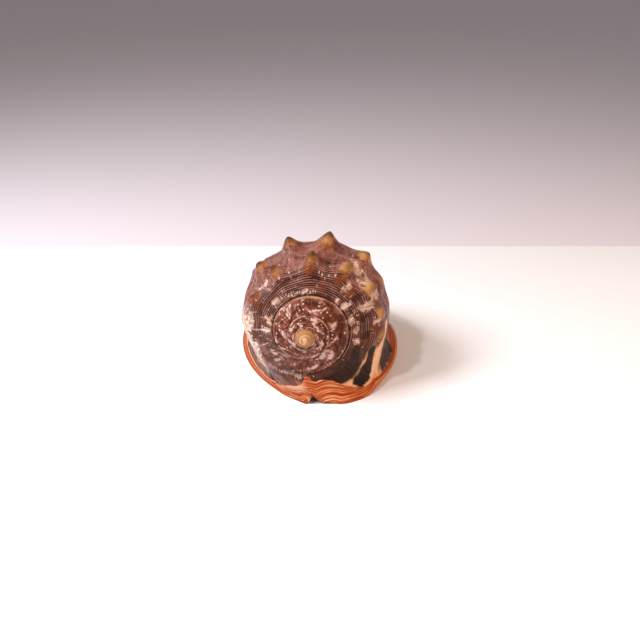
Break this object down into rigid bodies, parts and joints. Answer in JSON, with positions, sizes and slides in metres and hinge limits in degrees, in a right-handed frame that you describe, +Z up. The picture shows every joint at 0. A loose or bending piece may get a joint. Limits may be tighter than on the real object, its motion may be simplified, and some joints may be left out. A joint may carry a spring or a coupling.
{
  "type": "helmet shell",
  "caption": "Large knobbed helmet sea shell with a coiled low spire, a flared rim round a toothed slot mouth and a small carved oval on its back; a display piece that rests on its mouth.",
  "frame": {"origin": "middle of the bounding box's foot, on the plane that the shell rests on", "axes": "+Z up; -Y the tip of the spire; +Y the siphonal canal; +X the thick outer lip"},
  "size_m": [0.1172, 0.15, 0.1099],
  "materials": {
    "shell": "glossy"
  },
  "bodies": {
    "root": {"shell": "shell"}
  },
  "joints": []
}
